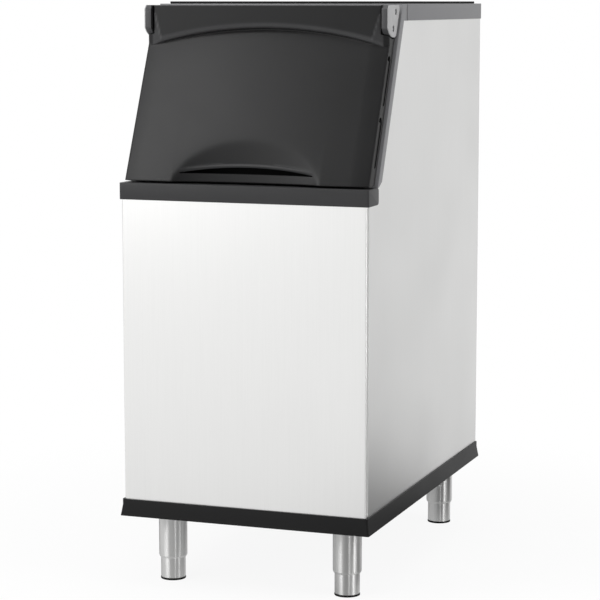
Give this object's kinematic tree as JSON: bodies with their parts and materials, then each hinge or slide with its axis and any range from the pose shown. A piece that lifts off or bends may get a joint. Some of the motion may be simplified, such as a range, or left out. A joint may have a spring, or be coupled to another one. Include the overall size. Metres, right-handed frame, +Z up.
{
  "type": "ice storage bin",
  "caption": "Insulated floor-standing ice bin with a sloping top-hinged door, a lined ice space open at the top for an ice maker, a rear drain and levelling legs.",
  "frame": {"origin": "on the floor under the middle of the cabinet", "axes": "+X to the right of someone facing the door, +Y to the back, +Z up"},
  "size_m": [0.5738, 0.8788, 1.276],
  "materials": {
    "steel_skin": "brushed stainless sheet, vertical sheen",
    "zinc_sheet": "galvanised sheet",
    "black_moulding": "satin black moulded polyethylene",
    "grey_moulding": "satin dark grey moulding",
    "liner_plastic": "smooth white polyethylene",
    "foam": "rigid polyurethane foam",
    "seal_rubber": "black foam rubber",
    "leg_steel": "turned stainless steel",
    "bright_steel": "zinc plated steel",
    "white_nylon": "nylon",
    "drain_plastic": "grey moulded fitting"
  },
  "bodies": {
    "cabinet": {"front_panel": "steel_skin", "left_side_panel": "steel_skin", "right_side_panel": "steel_skin", "back_panel": "zinc_sheet", "bottom_pan": "zinc_sheet", "base_skirt": "black_moulding", "bin_liner": "liner_plastic", "cabinet_foam": "foam", "door_sill": "black_moulding", "left_slope_trim": "grey_moulding", "right_slope_trim": "grey_moulding", "header_trim": "grey_moulding", "top_frame": "grey_moulding", "top_seal": "seal_rubber", "front_left_leg": "leg_steel", "front_right_leg": "leg_steel", "rear_left_leg": "leg_steel", "rear_right_leg": "leg_steel", "leg_sockets": "bright_steel", "leg_inserts": "bright_steel", "left_hinge_plate": "zinc_sheet", "left_hinge_cover": "grey_moulding", "left_hinge_pin": "bright_steel", "right_hinge_plate": "zinc_sheet", "right_hinge_cover": "grey_moulding", "right_hinge_pin": "bright_steel", "hinge_cover_screws": "bright_steel", "hinge_plate_screws": "bright_steel", "back_panel_screws": "bright_steel", "skirt_screws": "bright_steel", "drain_fitting": "drain_plastic", "drain_nut": "drain_plastic", "drain_strainer": "liner_plastic", "ice_baffle": "liner_plastic", "baffle_screws": "white_nylon"},
    "door": {"door_shell": "black_moulding", "grip_insert": "black_moulding", "door_inner_panel": "liner_plastic", "door_foam": "foam", "door_seal": "seal_rubber", "left_door_bushing": "white_nylon", "right_door_bushing": "white_nylon"},
    "front_left_leveller": {"front_left_foot": "leg_steel", "front_left_foot_pad": "seal_rubber"},
    "front_right_leveller": {"front_right_foot": "leg_steel", "front_right_foot_pad": "seal_rubber"},
    "rear_left_leveller": {"rear_left_foot": "leg_steel", "rear_left_foot_pad": "seal_rubber"},
    "rear_right_leveller": {"rear_right_foot": "leg_steel", "rear_right_foot_pad": "seal_rubber"}
  },
  "joints": [
    {"name": "door_hinge", "type": "hinge", "parent": "cabinet", "child": "door", "pos_m": [0, -0.26049, 1.248], "axis": [-1, 0, 0], "range_deg": [0, 165]},
    {"name": "front_left_screw_travel", "type": "slide", "parent": "cabinet", "child": "front_left_leveller", "axis": [0, 0, -1], "range_m": [-0.01, 0.02]},
    {"name": "front_right_screw_travel", "type": "slide", "parent": "cabinet", "child": "front_right_leveller", "axis": [0, 0, -1], "range_m": [-0.01, 0.02]},
    {"name": "rear_left_screw_travel", "type": "slide", "parent": "cabinet", "child": "rear_left_leveller", "axis": [0, 0, -1], "range_m": [-0.01, 0.02]},
    {"name": "rear_right_screw_travel", "type": "slide", "parent": "cabinet", "child": "rear_right_leveller", "axis": [0, 0, -1], "range_m": [-0.01, 0.02]}
  ]
}
